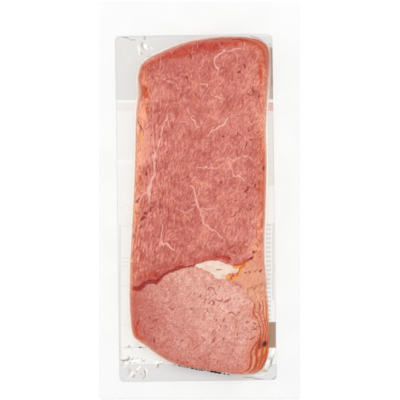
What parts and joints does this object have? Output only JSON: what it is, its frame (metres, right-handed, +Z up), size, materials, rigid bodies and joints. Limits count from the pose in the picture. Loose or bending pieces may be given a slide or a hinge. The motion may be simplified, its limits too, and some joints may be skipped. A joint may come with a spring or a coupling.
{
  "type": "pack of smoked salt beef",
  "caption": "Flat vacuum pack lying on its back: a clear window in a white frame over a fanned stack of thin smoked beef slices.",
  "frame": {"origin": "middle of the pack's underside, which lies flat", "axes": "+Y towards the head of the pack, +X to the right of the window, +Z up out of the window"},
  "size_m": [0.14, 0.278, 0.0066],
  "materials": {
    "back_film": "pale printed back film, seen from inside through the clear window",
    "beef_edge": "moist smoked beef, browned orange towards its rim",
    "beef_face": "moist pink cut face with fine marbling, a red seam and a pale fat pocket",
    "clear_film": "thin clear glossy film drawn down over the slices",
    "frame_print": "opaque white print, satin"
  },
  "bodies": {
    "root": {"back_film": "back_film", "slice_1": "beef_edge", "slice_2": "beef_edge", "slice_3": "beef_edge", "slice_4": "beef_edge", "slice_5": "beef_face", "front_film": "clear_film", "white_frame": "frame_print"}
  },
  "joints": []
}
